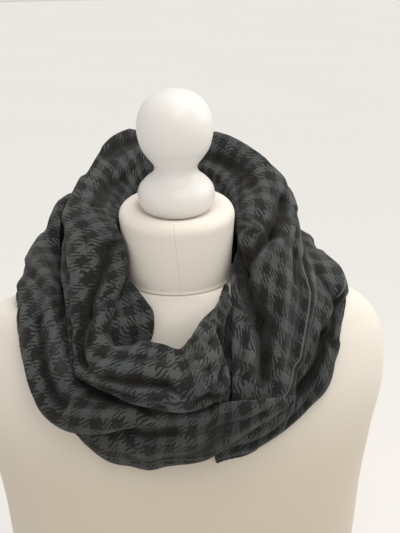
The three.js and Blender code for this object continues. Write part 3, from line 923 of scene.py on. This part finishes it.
def ring_mesh(name, rings):
    """A closed mesh object from rings of points in millimetres, lowest first, with end caps."""
    rings = np.asarray(rings, float)
    count, steps = rings.shape[:2]
    index = np.arange(count * steps).reshape(count, steps)
    ahead = np.roll(index, -1, axis=1)
    faces = np.stack([index[:-1], ahead[:-1], ahead[1:], index[1:]], -1).reshape(-1, 4).tolist()
    mesh = bpy.data.meshes.new(name)
    caps = [index[0][::-1].tolist(), index[-1].tolist()]
    mesh.from_pydata((rings.reshape(-1, 3) * MM).tolist(), [], faces + caps)
    smooth = np.ones(len(mesh.polygons), bool)
    smooth[-2:] = False
    mesh.polygons.foreach_set("use_smooth", smooth)
    obj = bpy.data.objects.new(name, mesh)
    bpy.context.scene.collection.objects.link(obj)
    return obj


def form_body():
    """The torso under its cover."""
    heights = np.concatenate([np.linspace(0, 380, 60), np.linspace(384, 480, 60),
                              np.linspace(481, FORM_TOP, 20)])
    bearing = np.linspace(0, 360, TORSO_POINTS, endpoint=False)
    rings = [polar(bearing, torso_radius(bearing, np.full(bearing.shape, z)), z) for z in heights]
    return ring_mesh("cover_body", rings)


def form_neck():
    """The covered neck piece, with a seam down its front and a turned seam round its foot."""
    bearing = np.concatenate([np.linspace(-10, 10, 60, endpoint=False),
                              np.linspace(10, 350, 170, endpoint=False)])
    foot = FORM_TOP + PART_GAP
    rings = []
    outline = [(NECK_BASE_RADIUS + out, foot + up) for out, up in NECK_FOOT]
    rim = NECK_TOP + NECK_PADDING[0, 1]
    outline += [(float(neck_radius(z)), z) for z in np.linspace(FORM_TOP + 4.5, rim - 1, 60)]
    crown = np.column_stack([np.arange(len(NECK_PADDING)), NECK_PADDING])
    outline += [(r, NECK_TOP + z) for _, r, z in sample(crown, np.linspace(0, len(crown) - 1, 49))]
    front = np.where(bearing > 180, bearing - 360, bearing)
    for radius, z in outline:
        seam = front + NECK_SEAM_LEAN * (z - foot) / (NECK_TOP - foot)
        ridges = SEAM_RIDGE * np.exp(-((np.abs(seam) - SEAM_RIDGE_PLACE) / SEAM_RIDGE_WIDTH) ** 2)
        groove = SEAM_GROOVE * np.exp(-(seam / SEAM_GROOVE_WIDTH) ** 2)
        ring = polar(bearing, radius + (ridges - groove) * min(1, radius / 50), z)
        ring[:, 1] += neck_shift(z)
        ring[:, 2] += NECK_TOP_TILT * ring[:, 1] * max(0, (z - foot) / (NECK_TOP - foot))
        rings.append(ring)
    return ring_mesh("cover_neck", rings)


def form_knob():
    """The turned knob on the neck."""
    heights = np.linspace(KNOB[0, 0], KNOB[-1, 0], 110)
    profile = sample(KNOB, heights)
    bearing = np.linspace(0, 360, KNOB_POINTS, endpoint=False)
    rings = [polar(bearing, r, z) for z, r in profile[:, :2]]
    top = KNOB[-1, 0]
    rings += [polar(bearing, r, top + h) for r, h in ((6, 0.3), (4, 0.5), (2, 0.6))]
    tilt = np.array(Matrix.Rotation(math.atan(NECK_TOP_TILT), 3, "X"))
    shift = float(neck_shift(NECK_TOP))
    seat = NECK_TOP + NECK_PADDING[-1, 1]
    foot = np.array([0, shift, seat + NECK_TOP_TILT * shift + 2 * PART_GAP])
    return ring_mesh("knob", [ring @ tilt.T + foot for ring in rings])


def finish_piece(obj, material, slot, *nodes):
    """Gives a piece its material and the nodes that it replaces; the slot is not used."""
    obj.data.materials.append(material)
    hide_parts(*nodes)
    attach(obj, "root")


def add_camera():
    """The photo's view: 800 mm from the scarf, 20 degrees above it and a little to the left."""
    turn, rise, roll = map(math.radians, (CAMERA_TURN, CAMERA_RISE, CAMERA_ROLL))
    back = Vector((math.sin(turn) * math.cos(rise), -math.cos(turn) * math.cos(rise),
                   math.sin(rise)))
    right = (-back).cross(Vector((0, 0, 1))).normalized()
    up = right.cross(-back)
    x = right * math.cos(roll) + up * math.sin(roll)
    y = up * math.cos(roll) - right * math.sin(roll)
    place = Vector(CAMERA_TARGET) + back * CAMERA_DISTANCE
    data = bpy.data.cameras.new("camera")
    data.sensor_width = SENSOR
    data.lens = SENSOR * CAMERA_FOCAL
    camera = bpy.data.objects.new("camera", data)
    camera.matrix_world = Matrix.Translation(place) @ Matrix((x, y, back)).transposed().to_4x4()
    bpy.context.scene.collection.objects.link(camera)
    bpy.context.scene.camera = camera


def add_light(name, kind, place, target, energy, size, colour):
    """A light that faces a target."""
    data = bpy.data.lights.new(name, kind)
    data.energy = energy
    data.color = colour
    if kind == "SUN":
        data.angle = math.radians(size)
    else:
        data.size = size
    light = bpy.data.objects.new(name, data)
    light.location = place
    light.rotation_euler = (Vector(target) - Vector(place)).to_track_quat("-Z", "Y").to_euler()
    bpy.context.scene.collection.objects.link(light)


def add_floor():
    """A round pale floor."""
    mesh = bpy.data.meshes.new("floor")
    angles = np.linspace(0, 2 * np.pi, FLOOR_POINTS, endpoint=False)
    rim = [(FLOOR_RADIUS * math.cos(a), FLOOR_RADIUS * math.sin(a), -FLOOR_DROP) for a in angles]
    mesh.from_pydata(rim, [], [range(FLOOR_POINTS)])
    floor = bpy.data.objects.new("floor", mesh)
    bpy.context.scene.collection.objects.link(floor)
    g = Graph("pale floor")
    cloud = g.noise(g.coordinates("Object"), 0.6, 2.0)
    colour = g.mix(cloud, (0.80, 0.785, 0.765, 1), (0.84, 0.825, 0.805, 1))
    g.link(colour, g.shader.inputs["Base Color"])
    g.shader.inputs["Roughness"].default_value = 0.9
    floor.data.materials.append(g.material)


def add_stage():
    """Pale floor, soft lights and a pale world."""
    add_floor()
    world = bpy.data.worlds.new("world")
    world.use_nodes = True
    world.node_tree.nodes["Background"].inputs[0].default_value = WORLD_COLOUR
    world.node_tree.nodes["Background"].inputs[1].default_value = WORLD_LIGHT
    bpy.context.scene.world = world
    for light in LIGHTS:
        add_light(*light)
    bpy.context.scene.view_settings.view_transform = "Standard"


def add_pieces():
    """The dress form's three parts and the four pieces of the scarf."""
    scarf = scarf_cloth("houndstooth cloth", SELVAGE)
    hem = scarf_cloth("houndstooth hem", HEM_STRIPES)
    cover, paint = form_cover(), painted_wood()
    body, neck, knob = form_body(), form_neck(), form_knob()
    finish_piece(body, cover, "form_cover", "form_body")
    finish_piece(neck, cover, "form_cover", "form_neck")
    finish_piece(knob, paint, "form_knob", "form_knob")
    # Name, cross-sections, folds, creases, lay and lines of the weave, tucks of both edges,
    # points along and across, seed, and the nodes that it replaces
    turns = [
        ("upper_turn", UPPER_TURN, UPPER_FOLDS, UPPER_CREASES, UPPER_LAY, UPPER_LINES, (1, 1),
         540, 88, 11, ("scarf_outer_right", "scarf_back_top_right", "scarf_back_top_left",
                       "scarf_inner_left", "scarf_inner_front", "scarf_inner_right")),
        ("lower_turn", LOWER_TURN, LOWER_FOLDS, LOWER_CREASES, LOWER_LAY, LOWER_LINES, (0, 0),
         500, 84, 23, ("scarf_under_right", "scarf_back_low", "scarf_outer_left")),
        ("front_hem", FRONT_HEM, HEM_FOLDS, HEM_CREASES, HEM_LAY, HEM_LINES, (0, 0),
         140, 60, 37, ("scarf_front_hem",)),
        ("neck_fold", NECK_FOLD, [], NECK_CREASES, NECK_LAY, NECK_LINES, (0, 0),
         70, 36, 41, ("scarf_neck_fold",)),
    ]
    for name, *shape, nodes in turns:
        piece, size = cloth_piece(name, *shape)
        finish_piece(piece, hem if name == "front_hem" else scarf, "scarf_cloth", *nodes)


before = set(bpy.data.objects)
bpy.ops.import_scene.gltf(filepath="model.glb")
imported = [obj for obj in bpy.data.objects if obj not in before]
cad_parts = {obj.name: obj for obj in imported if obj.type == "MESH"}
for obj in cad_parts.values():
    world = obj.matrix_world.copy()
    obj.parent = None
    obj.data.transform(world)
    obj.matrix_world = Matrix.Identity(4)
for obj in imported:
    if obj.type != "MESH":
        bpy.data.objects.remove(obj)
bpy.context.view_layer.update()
add_pieces()
add_camera()
add_stage()
